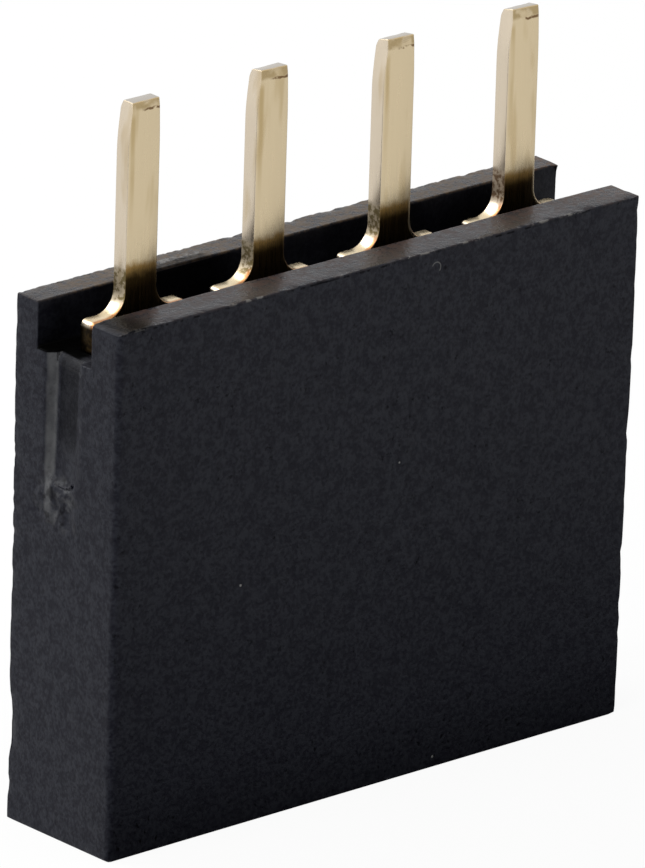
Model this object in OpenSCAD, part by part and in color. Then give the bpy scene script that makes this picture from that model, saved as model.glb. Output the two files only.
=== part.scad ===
// Female pin header strip, one row, straight tails.
// A moulded housing holds one stamped fork contact in each cavity. The strip
// stands on its mating face, with the solder tails pointing up. X runs along
// the row, Y across it, and the origin is the middle of the mating face.

/* [Row] */
// Number of contacts in the row
positions = 4; // [2:1:12]
// Distance from one contact to the next
pitch = 2.54; // [2.5:0.01:3]
// Place of the row's middle along the housing, off centre where the strip was cut to length
row_x = -0.06; // [-0.1:0.01:0.1]
// How far the row sits behind the middle of the housing
row_y = 0.07; // [0:0.01:0.15]

/* [Housing] */
// Height from the mating face to the rail tops
body_h = 8.45; // [8.2:0.05:10]
// Width across the row
body_w = 2.38; // [2.2:0.02:3]
// Average length from the outer contacts to the end faces, at the rail tops
end_margin = 1.43; // [1.3:0.005:2]
// How far the left end face leans in at the mating face
left_draft = 0.035; // [0.02:0.005:0.12]
// How far the right end face, which was cut, leans in at the mating face
right_draft = 0.11; // [0.02:0.005:0.15]
// Radius of the four upright edges
edge_r = 0.12; // [0.05:0.01:0.2]

/* [Channel] */
// Width of the channel between the two rails
channel_w = 1.21; // [1:0.01:1.4]
// Depth of the channel below the rail tops
channel_depth = 0.73; // [0.5:0.01:1]

/* [Cavity] */
// Side of the square passage for the mating pin
passage = 0.9; // [0.8:0.02:1.1]
// Side of the square mouth on the mating face
mouth = 1.6; // [1.3:0.05:1.8]
// Depth over which the mouth narrows to the passage
mouth_depth = 0.5; // [0.3:0.05:0.8]
// Height where the slot for the fork arms begins
slot_floor = 0.85; // [0.82:0.01:0.9]
// Depth of the plate's slot, from the channel floor to the ledge under the plate
plate_depth = 1.42; // [1:0.02:2]
// How far the ledge reaches under each side of the plate
ledge_w = 0.06; // [0.04:0.01:0.1]
// Gap between the sheet and each long wall of its slot
face_gap = 0.04; // [0.02:0.01:0.08]
// Gap between the plate and each short wall of its slot
side_gap = 0.04; // [0.02:0.01:0.08]

/* [End relief] */
// Width of the relief in the left end face
relief_w = 0.72; // [0.5:0.02:0.9]
// Depth of the relief
relief_depth = 0.16; // [0.08:0.01:0.25]
// Length of the relief below the channel floor
relief_len = 2.1; // [1:0.05:3]
// Bevel where the relief runs out into the channel
relief_bevel = 0.16; // [0.08:0.01:0.25]
// Radius of the gate stub left below the relief
gate_r = 0.22; // [0.15:0.01:0.3]
// Distance of the gate stub below the end of the relief
gate_drop = 0.34; // [0.3:0.01:0.6]
// Height of the gate stub over the end face
gate_h = 0.02; // [0.01:0.005:0.03]

/* [Contact sheet] */
// Thickness of the stamped sheet
sheet_t = 0.28; // [0.2:0.01:0.35]
// Width of the plate that seats in the slot
plate_w = 1.88; // [1.7:0.02:1.96]
// Height of the plate's shoulders over the channel floor
shoulder_h = 0.43; // [0.2:0.01:0.6]
// Radius of the shoulders' outer corners
shoulder_r = 0.1; // [0.05:0.01:0.2]
// How much higher the first contact is seated than the last
seat_spread = 0.1; // [0:0.01:0.12]

/* [Barbs] */
// Depth of the upper barbs below the channel floor
barb_cover = 0.25; // [0.1:0.05:0.4]
// Distance from one row of barbs to the next
barb_step = 0.45; // [0.4:0.05:0.6]
// Length of a barb's ramp
barb_ramp = 0.24; // [0.1:0.02:0.26]
// Length of a barb's land, which bears on the slot's wall
barb_land = 0.08; // [0.04:0.01:0.1]

/* [Solder tail] */
// Width of the tail
tail_w = 0.62; // [0.5:0.01:0.7]
// Length of the last contact's tail over the rail tops
tail_len = 2.98; // [2:0.02:4]
// Radius of the fillets between the tail and the shoulders
tail_fillet = 0.36; // [0.2:0.01:0.45]
// How much each side of the tip draws in
tip_taper = 0.07; // [0.02:0.01:0.15]
// Length over which the tip draws in
tip_len = 0.8; // [0.4:0.05:1.2]
// Radius of the tip's corners
tip_r = 0.05; // [0.02:0.01:0.08]
// Depth of the coined bevel on the front and the back of the tip
coin_depth = 0.06; // [0.02:0.01:0.08]
// Length of the coined bevel
coin_len = 0.16; // [0.08:0.01:0.3]

/* [Fork] */
// Gap between the arms at their roots
root_gap = 0.78; // [0.7:0.02:0.9]
// Gap between an arm's root and the slot's wall
arm_clear = 0.07; // [0.04:0.01:0.12]
// Gap between the contact noses, which a mating pin spreads
nose_gap = 0.42; // [0.3:0.02:0.6]
// Width of an arm at its nose
nose_w = 0.34; // [0.26:0.02:0.36]
// Height of the noses over the mating face
nose_h = 2.5; // [2:0.1:3.5]
// Width of an arm at its flared end
flare_w = 0.22; // [0.16:0.02:0.26]
// Gap between a flared end and the slot's wall, which a mating pin takes up
spring_room = 0.17; // [0.14:0.01:0.2]
// Clearance between the flared ends and the slot floor
flare_clear = 0.12; // [0.08:0.02:0.3]

/* [Hidden] */
$fn = 48;
// Overshoot of every cut past the face that it opens
over = 0.1;
row_len = (positions - 1) * pitch;
end_x = row_len / 2 + end_margin;
left_lean = atan(left_draft / body_h);
right_lean = atan(right_draft / body_h);
channel_floor = body_h - channel_depth;
ledge_z = channel_floor - plate_depth;
slot_t = sheet_t + 2 * face_gap;
slot_w = plate_w + 2 * side_gap;
arm_slot_w = plate_w - 2 * ledge_w;
root_w = arm_slot_w / 2 - arm_clear - root_gap / 2;
flare_x = arm_slot_w / 2 - spring_room - flare_w / 2;
shoulder_z = channel_floor + shoulder_h;
tail_top = body_h + tail_len;
// Where the tail starts, inside the plate
tail_root_z = shoulder_z - shoulder_r;
barb_h = barb_ramp + barb_land;
barb_rows = 1 + floor((plate_depth - barb_cover - barb_h) / barb_step);
relief_end = channel_floor - relief_len;

// Place of contact i along the row
function contact_x(i) = row_x + (i - (positions + 1) / 2) * pitch;

// How far contact i stays above the ledge
function seat_rise(i) = seat_spread * (positions - i) / (positions - 1);

// A profile in X and Z, made into a sheet of thickness t about the plane y = 0
module sheet(t) {
    rotate([90, 0, 0]) linear_extrude(t, center = true) children();
}

// A profile in Y and Z, made into a bar of length len about the plane x = 0
module bar(len) {
    rotate([90, 0, 90]) linear_extrude(len, center = true) children();
}

// What rounding takes off a corner that points to +X and +Y
module corner_waste(r) {
    difference() {
        translate([-r, -r]) square(2 * r);
        translate([-r, -r]) circle(r);
    }
}

// What a fillet adds to an inner corner that opens to +X and +Y
module fillet_web(r) {
    difference() {
        square(r);
        translate([r, r]) circle(r);
    }
}

// A strip between two round ends of diameters wa and wb, with straight flanks
module taper_link(a, wa, b, wb) {
    run = b - a;
    lean = acos((wa - wb) / 2 / norm(run));
    heading = atan2(run.y, run.x);
    function rim(c, w, side) =
        c + w / 2 * [cos(heading + side * lean), sin(heading + side * lean)];
    translate(a) circle(d = wa);
    translate(b) circle(d = wb);
    polygon([rim(a, wa, 1), rim(b, wb, 1), rim(b, wb, -1), rim(a, wa, -1)]);
}

// Outer form of the housing: ends that lean in, and rounded upright edges
module housing_block() {
    edge_cut_h = 2 * body_h;
    difference() {
        sheet(body_w) polygon([
            [-end_x + left_draft, 0], [end_x - right_draft, 0],
            [end_x, body_h], [-end_x, body_h]
        ]);
        for (end = [[0, right_lean], [1, left_lean]], my = [0, 1])
            mirror([end[0], 0, 0]) mirror([0, my, 0])
                translate([end_x, body_w / 2, body_h])
                    rotate([0, end[1], 0])
                        linear_extrude(edge_cut_h, center = true) corner_waste(edge_r);
    }
}

// Channel along the row, open at both ends and at the top
module channel() {
    translate([0, row_y, channel_floor + channel_depth / 2 + over / 2])
        cube([2 * (end_x + over), channel_w, channel_depth + over], center = true);
}

// Square funnel that leads a mating pin into its passage
module mouth_funnel() {
    slope = (mouth - passage) / 2 / mouth_depth;
    wide = mouth / 2 + over * slope;
    narrow = passage / 2;
    funnel = [[-wide, -over], [wide, -over], [narrow, mouth_depth], [-narrow, mouth_depth]];
    intersection() {
        sheet(2 * wide) polygon(funnel);
        bar(2 * wide) polygon(funnel);
    }
}

// One cavity: mouth, pin passage, slot for the arms and wider slot for the plate
module cavity() {
    arm_slot_h = ledge_z - slot_floor;
    passage_h = ledge_z - mouth_depth;
    mouth_funnel();
    translate([0, 0, mouth_depth + passage_h / 2])
        cube([passage, passage, passage_h], center = true);
    translate([0, 0, slot_floor + arm_slot_h / 2])
        cube([arm_slot_w, slot_t, arm_slot_h], center = true);
    translate([0, 0, ledge_z + (plate_depth + over) / 2])
        cube([slot_w, slot_t, plate_depth + over], center = true);
}

// Shallow relief in the left end face, which runs out into the channel
module end_relief() {
    straight = relief_len - relief_w / 2;
    translate([-end_x, row_y, channel_floor]) rotate([0, -left_lean, 0]) {
        rotate([90, 0, 90]) linear_extrude(2 * relief_depth, center = true) {
            translate([-relief_w / 2, -straight]) square([relief_w, straight + over]);
            translate([0, -straight]) circle(d = relief_w);
        }
        sheet(relief_w) polygon([
            [relief_depth - over, -relief_bevel - over],
            [relief_depth + relief_bevel + over, over],
            [relief_depth - over, over]
        ]);
    }
}

// Round stub where the gate was broken off, below the relief
module gate_stub() {
    stub_z = relief_end - gate_drop;
    face_x = end_x - left_draft * (1 - stub_z / body_h);
    translate([-face_x - gate_h, row_y, stub_z]) rotate([0, 90, 0])
        cylinder(r = gate_r, h = gate_h + relief_depth);
}

module housing() {
    color("#232327") {
        difference() {
            housing_block();
            channel();
            end_relief();
            for (i = [1 : positions])
                translate([contact_x(i), row_y, 0]) cavity();
        }
        gate_stub();
    }
}

// Tail with a tip that draws in and has rounded corners
module tail_profile() {
    root = tail_w / 2;
    tip = root - tip_taper;
    difference() {
        polygon([
            [-root, tail_root_z], [root, tail_root_z],
            [root, tail_top - tip_len], [tip, tail_top],
            [-tip, tail_top], [-root, tail_top - tip_len]
        ]);
        for (mx = [0, 1])
            mirror([mx, 0]) translate([tip, tail_top]) corner_waste(tip_r);
    }
    for (mx = [0, 1])
        mirror([mx, 0]) translate([root, shoulder_z]) fillet_web(tail_fillet);
}

// Plate that seats in the slot, with its rounded shoulders and the fork's gullet
module plate_profile() {
    difference() {
        translate([-plate_w / 2, ledge_z]) square([plate_w, shoulder_z - ledge_z]);
        translate([0, ledge_z]) circle(d = root_gap);
        for (mx = [0, 1])
            mirror([mx, 0]) translate([plate_w / 2, shoulder_z]) corner_waste(shoulder_r);
    }
}

// Barbs that bear on the slot's short walls and keep the contact in
module barb_profile() {
    for (mx = [0, 1], row = [0 : barb_rows - 1])
        mirror([mx, 0])
            translate([plate_w / 2, channel_floor - barb_cover - row * barb_step])
                polygon([
                    [-side_gap, -barb_h], [0, -barb_h], [side_gap, -barb_land],
                    [side_gap, 0], [-side_gap, 0]
                ]);
}

// Two sprung arms, which close to the noses and flare open at their ends
module fork_profile() {
    root = [(root_gap + root_w) / 2, ledge_z];
    nose = [(nose_gap + nose_w) / 2, nose_h];
    flare = [flare_x, slot_floor + flare_clear + flare_w / 2];
    for (mx = [0, 1]) mirror([mx, 0]) {
        taper_link(root, root_w, nose, nose_w);
        taper_link(nose, nose_w, flare, flare_w);
    }
}

// Thickness of the tail over its height, with the coined bevels at the tip
module coin_profile() {
    half = sheet_t / 2;
    tip = half - coin_depth;
    polygon([
        [-half, tail_root_z], [half, tail_root_z], [half, tail_top - coin_len],
        [tip, tail_top], [-tip, tail_top], [-half, tail_top - coin_len]
    ]);
}

// One contact: fork arms, seated plate and solder tail, stamped from one sheet
module contact(i) {
    color("#cdb98c") translate([contact_x(i), row_y, seat_rise(i)]) {
        sheet(sheet_t) {
            plate_profile();
            barb_profile();
            fork_profile();
        }
        intersection() {
            sheet(sheet_t) tail_profile();
            bar(plate_w) coin_profile();
        }
    }
}

housing();
for (i = [1 : positions])
    contact(i);
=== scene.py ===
"""Female pin header strip, one row: the finished housing and contacts, and a plain studio."""

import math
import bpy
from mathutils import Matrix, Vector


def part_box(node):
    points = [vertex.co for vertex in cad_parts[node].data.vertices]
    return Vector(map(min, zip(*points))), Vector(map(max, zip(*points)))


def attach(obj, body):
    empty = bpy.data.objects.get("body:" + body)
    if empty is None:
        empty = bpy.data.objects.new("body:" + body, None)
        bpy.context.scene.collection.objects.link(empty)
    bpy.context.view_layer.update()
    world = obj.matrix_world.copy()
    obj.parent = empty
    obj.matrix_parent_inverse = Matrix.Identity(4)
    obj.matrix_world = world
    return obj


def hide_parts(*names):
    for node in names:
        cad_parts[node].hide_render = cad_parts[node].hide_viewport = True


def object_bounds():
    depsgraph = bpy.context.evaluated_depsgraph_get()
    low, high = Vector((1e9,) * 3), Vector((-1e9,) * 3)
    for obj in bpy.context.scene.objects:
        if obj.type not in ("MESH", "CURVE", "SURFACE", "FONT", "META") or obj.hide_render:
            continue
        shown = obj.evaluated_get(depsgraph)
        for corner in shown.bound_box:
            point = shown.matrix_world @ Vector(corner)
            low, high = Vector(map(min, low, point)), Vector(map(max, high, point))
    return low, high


bl_info = {
    "name": "Pin Header Strip",
    "version": (1, 0, 0),
    "blender": (4, 5, 0),
    "location": "3D View > Sidebar > Header Strip",
    "description": "Builds a female pin header strip's moulded housing and stamped contacts",
    "category": "Add Mesh",
}

from functools import reduce

import bmesh
import bpy
from bpy.props import FloatProperty, FloatVectorProperty, IntProperty, PointerProperty
from mathutils import Matrix, Vector, noise

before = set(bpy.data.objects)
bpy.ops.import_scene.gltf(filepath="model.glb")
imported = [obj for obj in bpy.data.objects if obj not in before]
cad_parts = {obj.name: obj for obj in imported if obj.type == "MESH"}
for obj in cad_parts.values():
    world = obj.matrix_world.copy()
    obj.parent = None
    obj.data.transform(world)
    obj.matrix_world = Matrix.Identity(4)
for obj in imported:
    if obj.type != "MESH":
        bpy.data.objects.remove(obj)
CAD_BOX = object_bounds()

MM = 0.001
BODY = "root"
WORLD_UP = Vector((0, 0, 1))
# How close two vertices are when they count as one
WELD = 1e-7
# How far a cutter stands out of the face that it opens
OVER = 0.1 * MM

HOUSING_LOW, HOUSING_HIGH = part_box("housing")
CONTACT_NODES = sorted(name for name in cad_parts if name.startswith("contact_"))
CONTACT_BOXES = [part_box(name) for name in CONTACT_NODES]
CONTACT_CENTRES = [(low + high) / 2 for low, high in CONTACT_BOXES]
PITCH = (CONTACT_CENTRES[-1].x - CONTACT_CENTRES[0].x) / (len(CONTACT_NODES) - 1)
ROW_Y = CONTACT_CENTRES[0].y
LAST_TIP_Z = CONTACT_BOXES[-1][1].z
ORIGIN = (0.0, 0.0, 0.0)
ROW_START = Vector((CONTACT_CENTRES[0].x, ROW_Y, 0.0))
# Middles of the gaps between neighbouring contacts, along X
GAPS = [centre.x + PITCH / 2 for centre in CONTACT_CENTRES[:-1]]
# How much higher than the last contact each one sits, and how much of it the shoulders lose
SEATS = [high.z - LAST_TIP_Z for low, high in CONTACT_BOXES]
SHOULDER_SINK = 0.5

# Sizes in millimetres that the shapes and the finishes share
CHANNEL_WIDTH = 1.21
CHANNEL_DEPTH = 0.73
RELIEF_WIDTH = 0.72
SHEET = 0.28
TAIL_WIDTH = 0.62
TAIL_FILLET = 0.36
SHOULDER_Z = 8.15
CHANNEL_FLOOR = HOUSING_HIGH.z - CHANNEL_DEPTH * MM
# Depth and spread in millimetres of the relief's soft rim, down from the end face
RELIEF_RIM = [(0.0, 0.085), (0.006, 0.05), (0.022, 0.02), (0.055, -0.005)]
# The same where the relief's walls meet its floor, as heights over that floor
RELIEF_FOOT = [(0.055, -0.035), (0.022, -0.06), (0.006, -0.09), (0.0, -0.125)]

# Middle of the torn gate mark on the left end face, and the part of that face with fine cuts
GATE_PLACE = Vector((HOUSING_LOW.x, 0.2 * MM, 5.34 * MM))
GATE_SPAN_Y = (-0.6 * MM, 0.7 * MM)
GATE_SPAN_Z = (4.5 * MM, 6.1 * MM)
GATE_DEPTH = 0.05 * MM
# Depths in millimetres of the skin's slow waves and fine unevenness
WAVE_DEPTH = 0.010
UNEVEN_DEPTH = 0.004
# The same of the nicks in all outer edges, of those in the rails' rims and of the worn edges
NICK_DEPTH = 0.034
RIM_NICK_DEPTH = 0.016
WORN_DEPTH = 0.05
# How far the front rail's left end is rubbed down, and over what length
CORNER_DEPTH = 0.04 * MM
CORNER_LENGTH = 0.34 * MM
# How far the scrap of flash leans into the channel
FLASH_REACH = 0.05 * MM
# Millimetres by which the tips' faces wander and their cut ends are rough
TIP_WANDER = 0.014
END_ROUGHNESS = 0.012
# Share of the coined bevel's depth that the tip's front has
FRONT_SHARE = 0.3
# Distances between the cuts that let the housing's skin be shaped
COARSE_CUTS = 0.12 * MM
FINE_CUTS = 0.03 * MM
# The same for the contacts' heights and for the columns of their tips
CONTACT_CUTS = 0.12 * MM
TIP_CUTS = 0.1 * MM
# Angles over which the edges stay sharp, and over which the sheet's edges are rounded
HOUSING_SHARP = math.radians(32)
CONTACT_SHARP = math.radians(40)
ROLLED_ANGLE = math.radians(50)
# Heights between which the left half's back edges are worn, each with its soft step
WORN_FROM = (1.0 * MM, 1.3 * MM)
WORN_TO = (1.8 * MM, 2.2 * MM)

# Height of the painted dark reflection on the tails' feet, and how far its upper edge frays
FOOT_Z = 9.0 * MM
FOOT_FRAY = 0.09 * MM
# Height under which the sides of the plates are painted with shade and dark reflection
SUNK_Z = 8.08 * MM
# Heights of the mottled stain with its painted shade, of the copper edge's fading end and of the
# tails' growing gloss
STAIN_AND_SHADE_BAND = (8.44 * MM, 8.86 * MM)
COPPER_FADE = (8.3 * MM, 8.44 * MM)
GLOSS_CHANGE = (8.9 * MM, 9.6 * MM)
# Heights where the relief's painted highlight and the painted shade on its floor begin, and the
# painted shade at the front's foot ends
RIM_FOOT_Z = 5.3 * MM
HOLLOW_FOOT_Z = 6.5 * MM
DARK_FOOT_Z = 1.3 * MM
# Heights of the bumps that the grain and the drawn streaks make
GRAIN_HEIGHT = 0.0105 * MM
STREAK_HEIGHT = 0.003 * MM
# The rail top that is scraped on its inner side, along X
SCRAPED_SPAN = (-3.4 * MM, -2.0 * MM)
# Middle and radius of the mottled patch on the front face
PATCH_CENTRE = Vector((0.2 * MM, HOUSING_LOW.y, 5.8 * MM))
PATCH_RADIUS = 1.6 * MM
# Places and radii of the lint that shows on the front
LINT_PLACES = [
    (Vector((-2.70 * MM, HOUSING_LOW.y, 3.89 * MM)), 0.018 * MM),
    (Vector((0.45 * MM, HOUSING_LOW.y, 5.16 * MM)), 0.014 * MM),
    (Vector((1.32 * MM, HOUSING_LOW.y, 0.18 * MM)), 0.016 * MM),
]
# Middle of a short curled fibre on the front, its radius and half its thickness
CURL_CENTRE = Vector((1.08 * MM, HOUSING_LOW.y, 8.15 * MM))
CURL_RADIUS = 0.09 * MM
CURL_HALF = 0.005 * MM

# Name, direction, distance, side and power of each lamp, then the other studio values
LAMPS = [
    ("key_lamp", (-0.9, -0.12, 0.55), 0.30, 0.22, 0.64),
    ("back_lamp", (-0.345, 0.695, 0.63), 0.25, 0.15, 0.42),
    ("fill_lamp", (0.7, -0.5, 0.9), 0.35, 0.25, 0.2),
]
WORLD_LIGHT = 0.5
SENSOR_WIDTH = 36.0
FLOOR_SIZE = 0.6
# Where the floor's painted shadow, seen only in reflections and bounced light, grows along Y, and
# where it thins out along X
FLOOR_DIM_Y = (-14 * MM, -1 * MM)
FLOOR_DIM_X = (6 * MM, 15 * MM)
# How much of the floor glows by itself, for the camera and for gloss
FLOOR_TO_CAMERA = 0.92
FLOOR_TO_GLOSS = 0.72


def length(name, description, default, **rest):
    """A length property. The default is in millimetres."""
    return FloatProperty(
        name=name, description=description, default=default * MM,
        min=0.0, precision=5, unit="LENGTH", **rest,
    )


def tint(name, description, default):
    """A colour property in linear light."""
    return FloatVectorProperty(
        name=name, description=description, default=default,
        size=3, min=0.0, max=1.0, subtype="COLOR",
    )


class HousingSizes(bpy.types.PropertyGroup):
    """Sizes of the moulded housing."""

    left_draft: length("Left draft", "How far the left end leans in at the mating face", 0.035)
    right_draft: length("Right draft", "How far the right end leans in at the mating face", 0.11)
    channel_width: length("Channel width", "Width of the channel between the rails", CHANNEL_WIDTH)
    channel_depth: length("Channel depth", "Depth of the channel between the rails", CHANNEL_DEPTH)
    upright_radius: length("Upright radius", "Radius of the front's left upright edge", 0.1)
    crisp_radius: length("Crisp radius", "Radius of the other upright edges", 0.032)
    rim_radius: length("Rim radius", "Radius of the outer edges of the rails and the foot", 0.03)
    channel_radius: length("Channel radius", "Radius of the channel's edges", 0.028)
    passage: length("Passage", "Side of the square passage for the mating pin", 0.9)
    mouth: length("Mouth", "Side of the square mouth on the mating face", 1.6)
    mouth_depth: length("Mouth depth", "Depth over which the mouth narrows", 0.5)
    slot_floor: length("Slot floor", "Height where the slot for the arms begins", 0.85)
    slot_thickness: length("Slot thickness", "Gap between the slot's long walls", 0.36)
    arm_slot_width: length("Arm slot width", "Width of the slot round the arms", 1.76)
    plate_slot_width: length("Plate slot width", "Width of the slot round the plate", 1.96)
    ledge_height: length("Ledge height", "Height of the ledge under the plate", 6.3)
    relief_width: length("Relief width", "Width of the relief in the left end face", RELIEF_WIDTH)
    relief_depth: length("Relief depth", "Depth of that relief", 0.16)
    relief_length: length("Relief length", "Length of the relief below the channel floor", 2.1)
    relief_lean: FloatProperty(
        name="Relief lean", description="Share of its depth that the relief loses at the front",
        default=0.55, min=0.0, max=1.0,
    )
    relief_fade: FloatProperty(
        name="Relief fade", description="Share of its depth that the relief loses at its lower end",
        default=0.3, min=0.0, max=1.0,
    )
    relief_bevel: length("Relief bevel", "Bevel where the relief runs into the channel", 0.16)
    gate_radius: length("Gate radius", "Radius of the rough gate mark", 0.44)


class ContactSizes(bpy.types.PropertyGroup):
    """Sizes of one stamped contact."""

    thickness: length("Sheet", "Thickness of the stamped sheet", SHEET)
    plate_width: length("Plate width", "Width of the plate between its barbs", 1.88)
    shoulder_height: length("Shoulder height", "Height of the last contact's shoulders", SHOULDER_Z)
    shoulder_radius: length("Shoulder radius", "Radius of the shoulders' corners", 0.1)
    barb_reach: length("Barb reach", "How far a barb stands out of the plate's side", 0.04)
    barb_top: length("Barb top", "Height of the upper barbs' tops", 7.47)
    barb_step: length("Barb step", "Distance from one row of barbs to the next", 0.45)
    barb_ramp: length("Barb ramp", "Length of a barb's ramp", 0.24)
    barb_land: length("Barb land", "Length of a barb's land", 0.08)
    barb_rows: IntProperty(name="Barb rows", description="Rows of barbs", default=2, min=1, max=4)
    tail_width: length("Tail width", "Width of the solder tail", TAIL_WIDTH)
    tail_fillet: length("Tail fillet", "Radius between the tail and the shoulders", TAIL_FILLET)
    left_taper: length("Left taper", "How much the tip's left side draws in", 0.07)
    right_taper: length("Right taper", "How much the tip's right side draws in", 0.02)
    tip_length: length("Tip length", "Length over which the tip draws in", 0.8)
    tip_radius: length("Tip radius", "Radius of the tip's corners", 0.02)
    coin_depth: length("Coin depth", "Depth of the coined bevel on the tip's back", 0.05)
    coin_length: length("Coin length", "Length of the coined bevel", 0.13)
    burr_height: length("Burr height", "Height of the burr on the cut end's front edge", 0.05)
    root_gap: length("Root gap", "Gap between the arms at their roots", 0.78)
    root_width: length("Root width", "Width of an arm at its root", 0.42)
    nose_gap: length("Nose gap", "Gap between the contact noses", 0.42)
    nose_width: length("Nose width", "Width of an arm at its nose", 0.34)
    nose_height: length("Nose height", "Height of the noses", 2.5)
    flare_width: length("Flare width", "Width of an arm at its flared end", 0.22)
    flare_x: length("Flare place", "Distance of a flared end from the contact's middle", 0.6)
    flare_height: length("Flare height", "Height of the flared ends' centres", 1.08)
    edge_radius: length("Edge radius", "Radius of the sheet's edges", 0.018)


class FinishColours(bpy.types.PropertyGroup):
    """Colours of the plastic, the plating and the floor."""

    plastic: tint("Plastic", "Black moulded plastic", (0.003, 0.0032, 0.0066))
    # Worn plastic on the grain's peaks, and the base of the painted sheen on the rail tops
    worn_plastic_and_sheen: tint("Worn plastic", "Plastic on the grain's peaks", (0.0115, 0.0125, 0.0175))
    # Painted shade in the channel, on the relief's floor, in the gate's pits and at the front's
    # foot; also dark pores and rail marks
    dark_plastic_and_shade: tint("Deep plastic", "Plastic down in the channel", (0.0006, 0.0006, 0.0006))
    # Rubbed wear with a painted sheen on the rail tops
    rubbed_rail_and_sheen: tint("Rubbed front rail", "Front rail where it is rubbed", (0.031, 0.018, 0.016))
    rubbed_back_and_sheen: tint("Rubbed back rail", "Back rail where it is rubbed", (0.072, 0.051, 0.034))
    rubbed_end_and_sheen: tint("Rubbed right end", "Rails near their right end", (0.065, 0.036, 0.022))
    broken_rim: tint("Broken rim", "Plastic where the rim is chipped", (0.11, 0.105, 0.10))
    # Painted highlight on the relief's lit wall and bevel band, and on the gate mark's torn bumps
    painted_highlight: tint("Pale rim", "Plastic at the relief and gate mark", (0.062, 0.063, 0.066))
    lint: tint("Lint", "Dust specks and lint", (0.16, 0.16, 0.155))
    plating: tint("Plating", "Pale gold plating on the rolled faces", (0.605, 0.497, 0.325))
    sheared: tint("Sheared sides", "Plating on the sheared sides", (0.61, 0.525, 0.41))
    cut_end: tint("Cut ends", "Greyer metal on the tails' cut ends", (0.37, 0.345, 0.31))
    tarnish: tint("Tarnish", "Thin tarnish in the streaks", (0.42, 0.31, 0.15))
    # Dull pressed metal with painted shade on the tips' bevels
    pressed: tint("Pressed bevels", "Dull metal on the tips' bevels", (0.37, 0.28, 0.15))
    # Bare copper's colour, laid as a painted shadow line under the tips' pressed fronts
    bare_copper_and_shadow: tint("Bare metal", "Metal laid bare where the tips were cut", (0.16, 0.095, 0.045))
    # Painted dark reflection of the black housing on the tails' feet and on the plates' sides in
    # the channel
    painted_dark_reflection: tint("Sunk sides", "Stained metal, down in the channel", (0.036, 0.022, 0.007))
    # Darkest places of that painted dark reflection
    painted_deepest_reflection: tint("Deep sides", "Darkest places of that metal", (0.008, 0.005, 0.002))
    # Mottled stain with painted shade above the fillets, and the same on the last contact
    olive_stain_and_shade: tint("Olive stain", "Mottled stain above the fillets", (0.10, 0.072, 0.02))
    rust_stain_and_shade: tint("Rusty stain", "The same stain on the last contact", (0.105, 0.046, 0.021))
    # Lighter fringe at the top of the painted dark reflection on the tails' feet
    ochre_reflection_fringe: tint("Ochre haze", "Stain over the dark feet of the tails", (0.27, 0.16, 0.045))
    copper_edge: tint("Copper edge", "Copper along the fillets' edges", (0.33, 0.125, 0.035))
    floor: tint("Floor", "Plain pale floor", (0.8, 0.8, 0.8))


class StudioSizes(bpy.types.PropertyGroup):
    """Places of the camera and the lamps."""

    azimuth: FloatProperty(
        name="Azimuth", description="Turn of the camera about Z",
        default=math.radians(-42.068), subtype="ANGLE",
    )
    elevation: FloatProperty(
        name="Elevation", description="Angle of the camera over the horizon",
        default=math.radians(20.054), subtype="ANGLE",
    )
    roll: FloatProperty(
        name="Roll", description="Turn of the camera about its own axis",
        default=math.radians(1.734), subtype="ANGLE",
    )
    distance: length("Distance", "Distance from the camera to its aim", 227.76)
    lens: FloatProperty(name="Lens", description="Focal length in millimetres", default=622.65)
    aim: FloatVectorProperty(
        name="Aim", description="Point that the camera looks at",
        default=(0.0421 * MM, 0.1232 * MM, 5.3278 * MM), size=3, subtype="TRANSLATION",
    )


def new_object(name, data):
    """Links a mesh, a lamp or a camera to the scene under a plain name."""
    thing = bpy.data.objects.new(name, data)
    bpy.context.scene.collection.objects.link(thing)
    return thing


def mesh_from(bm, name):
    """Turns a bmesh into a mesh with its faces pointing outwards, and frees it."""
    bmesh.ops.recalc_face_normals(bm, faces=bm.faces)
    mesh = bpy.data.meshes.new(name)
    bm.to_mesh(mesh)
    bm.free()
    return mesh


def apply_modifiers(thing):
    """Puts what the modifiers make in place of the object's own mesh."""
    graph = bpy.context.evaluated_depsgraph_get()
    made = bpy.data.meshes.new_from_object(thing.evaluated_get(graph), depsgraph=graph)
    thing.modifiers.clear()
    thing.data = made
    return thing


def modify(thing, label, kind, **settings):
    """Puts one modifier with its settings on the object and keeps what it makes."""
    modifier = thing.modifiers.new(label, kind)
    for key, value in settings.items():
        setattr(modifier, key, value)
    return apply_modifiers(thing)


def loft(bm, rings):
    """Closed skin over rings of as many points each."""
    loops = [[bm.verts.new(point) for point in ring] for ring in rings]
    count = len(loops[0])
    for lower, upper in zip(loops, loops[1:]):
        for k in range(count):
            after = (k + 1) % count
            bm.faces.new((lower[k], lower[after], upper[after], upper[k]))
    bm.faces.new(reversed(loops[0]))
    bm.faces.new(loops[-1])


def arc(centre, radius, start, end, steps):
    """Points on a circle in X and Z, from one angle to another, in degrees."""
    turns = [math.radians(start + (end - start) * k / steps) for k in range(steps + 1)]
    return [
        (centre[0] + radius * math.cos(turn), centre[1] + radius * math.sin(turn))
        for turn in turns
    ]


def smooth(low, high, value):
    """0 below low, 1 above high, and a soft step between."""
    t = min(max((value - low) / (high - low), 0.0), 1.0)
    return t * t * (3 - 2 * t)


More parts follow.
